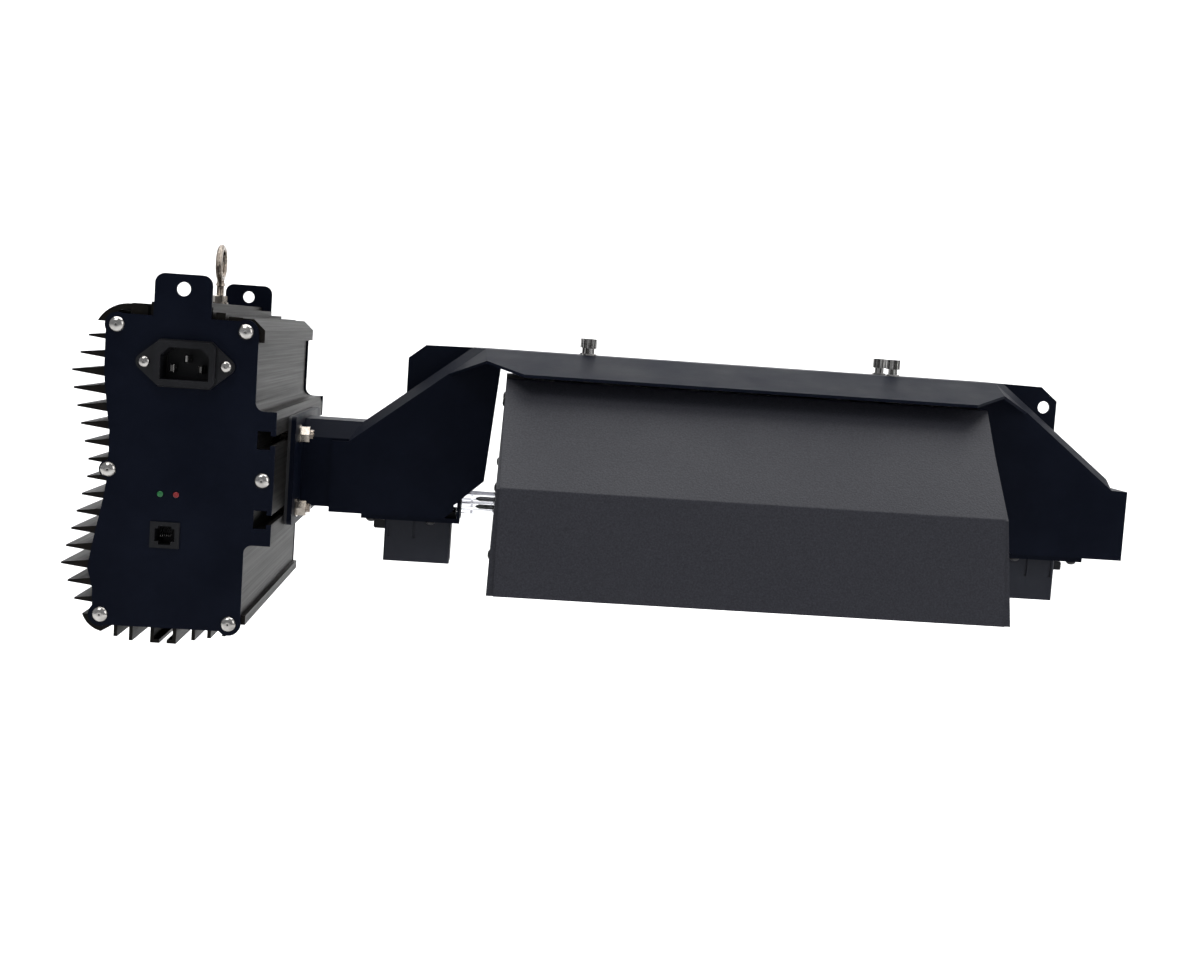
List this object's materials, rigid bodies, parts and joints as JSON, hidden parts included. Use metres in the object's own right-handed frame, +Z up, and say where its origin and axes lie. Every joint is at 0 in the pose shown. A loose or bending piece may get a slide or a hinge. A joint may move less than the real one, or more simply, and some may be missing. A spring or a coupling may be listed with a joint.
{
  "type": "double-ended grow lamp",
  "caption": "Hanging grow lamp: finned electronic ballast on a bracket arm, folded frame with end sockets, faceted hood with reflector, and a double-ended discharge lamp.",
  "frame": {"origin": "centre of the ring of the eye bolt on the ballast", "axes": "+X from the ballast towards the hood, +Z up, +Y away from the panel that carries the mains inlet"},
  "size_m": [0.565, 0.233, 0.2035],
  "materials": {
    "anodised": "black anodised extrusion, fine die lines",
    "frame_powder": "blue-black satin powder coat",
    "hood_powder": "charcoal fine-texture powder coat",
    "stainless": "bright stainless steel",
    "black_steel": "blackened steel",
    "reflector": "bright hammered reflector sheet",
    "black_plastic": "moulded black nylon",
    "pin_metal": "nickel-plated contact metal",
    "green_lens": "green diffused lens",
    "red_lens": "red diffused lens",
    "pcb": "green solder mask",
    "ferrite": "sintered ferrite with enamelled winding",
    "capacitor": "sleeved aluminium can",
    "film_block": "moulded film capacitor",
    "epoxy": "black epoxy package",
    "lead_sleeve": "silicone-sleeved lead",
    "pad_black": "black insulating sheet",
    "socket_plastic": "heat-resistant dark moulding",
    "quartz": "clear fused quartz",
    "alumina": "translucent alumina"
  },
  "bodies": {
    "frame": {"ballast_housing": "anodised", "front_plate": "frame_powder", "rear_plate": "frame_powder", "plate_screws": "stainless", "eye_bolt": "stainless", "eye_nut": "stainless", "inlet_body": "black_plastic", "inlet_pins": "pin_metal", "inlet_screws": "stainless", "data_jack": "black_plastic", "led_green": "green_lens", "led_red": "red_lens", "circuit_board": "pcb", "board_standoffs": "stainless", "emi_choke": "ferrite", "pfc_choke": "ferrite", "output_inductor": "ferrite", "bulk_capacitors": "capacitor", "film_capacitors": "film_block", "power_transistors": "epoxy", "transistor_clamp": "stainless", "lead_grommet": "lead_sleeve", "ballast_leads": "lead_sleeve", "arm_pad": "pad_black", "arm_flange": "frame_powder", "flange_bolts": "stainless", "flange_washers": "stainless", "flange_nuts": "stainless", "arm_channel": "frame_powder", "end_box_left": "frame_powder", "end_box_right": "frame_powder", "spine_cover": "frame_powder", "ear_left": "frame_powder", "ear_right": "frame_powder", "socket_bracket_left": "frame_powder", "socket_bracket_right": "frame_powder", "socket_body_left": "socket_plastic", "socket_body_right": "socket_plastic", "socket_contacts": "pin_metal", "bracket_screws": "black_steel", "lamp_leads": "lead_sleeve"},
    "hood": {"hood_shell": "hood_powder", "hood_end_left": "hood_powder", "hood_end_right": "hood_powder", "reflector_liner": "reflector", "hood_posts": "stainless", "hood_rivets": "stainless"},
    "lamp": {"lamp_envelope": "quartz", "arc_tube": "alumina", "lamp_pins": "pin_metal"},
    "button_left": {"socket_button_left": "black_plastic"},
    "button_right": {"socket_button_right": "black_plastic"},
    "lift_1": {"thumb_washer_1": "stainless"},
    "screw_1": {"thumb_screw_1": "stainless"},
    "lift_2": {"thumb_washer_2": "stainless"},
    "screw_2": {"thumb_screw_2": "stainless"},
    "lift_3": {"thumb_washer_3": "stainless"},
    "screw_3": {"thumb_screw_3": "stainless"},
    "lift_4": {"thumb_washer_4": "stainless"},
    "screw_4": {"thumb_screw_4": "stainless"}
  },
  "joints": [
    {"name": "hood_drop", "type": "slide", "parent": "frame", "child": "hood", "axis": [0, 0, -1], "range_m": [0, 0.1]},
    {"name": "lamp_pull", "type": "slide", "parent": "hood", "child": "lamp", "axis": [0, 0, -1], "range_m": [0, 0.1]},
    {"name": "button_left_press", "type": "slide", "parent": "frame", "child": "button_left", "axis": [1, 0, 0], "range_m": [0, 0.002]},
    {"name": "button_right_press", "type": "slide", "parent": "frame", "child": "button_right", "axis": [-1, 0, 0], "range_m": [0, 0.002]},
    {"name": "screw_1_lift", "type": "slide", "parent": "frame", "child": "lift_1", "axis": [0, 0, 1], "range_m": [0, 0.007]},
    {"name": "screw_1_turn", "type": "hinge", "parent": "lift_1", "child": "screw_1", "pos_m": [0.2049, -0.017, -0.03], "axis": [0, 0, 1], "range_deg": [0, 3600]},
    {"name": "screw_2_lift", "type": "slide", "parent": "frame", "child": "lift_2", "axis": [0, 0, 1], "range_m": [0, 0.007]},
    {"name": "screw_2_turn", "type": "hinge", "parent": "lift_2", "child": "screw_2", "pos_m": [0.3739, -0.017, -0.03], "axis": [0, 0, 1], "range_deg": [0, 3600]},
    {"name": "screw_3_lift", "type": "slide", "parent": "frame", "child": "lift_3", "axis": [0, 0, 1], "range_m": [0, 0.007]},
    {"name": "screw_3_turn", "type": "hinge", "parent": "lift_3", "child": "screw_3", "pos_m": [0.2049, 0.017, -0.03], "axis": [0, 0, 1], "range_deg": [0, 3600]},
    {"name": "screw_4_lift", "type": "slide", "parent": "frame", "child": "lift_4", "axis": [0, 0, 1], "range_m": [0, 0.007]},
    {"name": "screw_4_turn", "type": "hinge", "parent": "lift_4", "child": "screw_4", "pos_m": [0.3739, 0.017, -0.03], "axis": [0, 0, 1], "range_deg": [0, 3600]}
  ]
}
